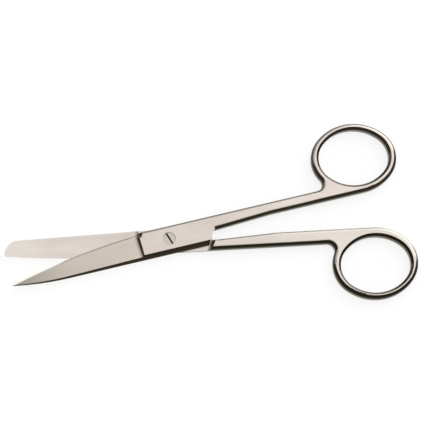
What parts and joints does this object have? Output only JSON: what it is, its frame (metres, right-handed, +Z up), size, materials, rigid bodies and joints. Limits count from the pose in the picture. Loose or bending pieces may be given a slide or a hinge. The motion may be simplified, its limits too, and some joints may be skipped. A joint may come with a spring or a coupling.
{
  "type": "nurses scissors",
  "caption": "Straight sharp/blunt nurses scissors with oval finger rings, a half-lap joint and a slotted pivot screw.",
  "frame": {"origin": "on the pivot axis, where the blunt half's lap rests on the table", "axes": "+X along the middle line between the halves, towards the finger rings; +Z up, out of the slotted screw head; the sharp half's ring is on the +Y side"},
  "size_m": [0.1371, 0.0612, 0.0036],
  "materials": {
    "steel": "satin",
    "screw_steel": "satin"
  },
  "bodies": {
    "lower": {"blunt_half": "steel", "pivot_screw": "screw_steel"},
    "upper": {"sharp_half": "steel"}
  },
  "joints": [
    {"name": "pivot", "type": "hinge", "parent": "lower", "child": "upper", "pos_m": [0, 0, 0], "axis": [0, 0, 1], "range_deg": [-10.2, 48]}
  ]
}
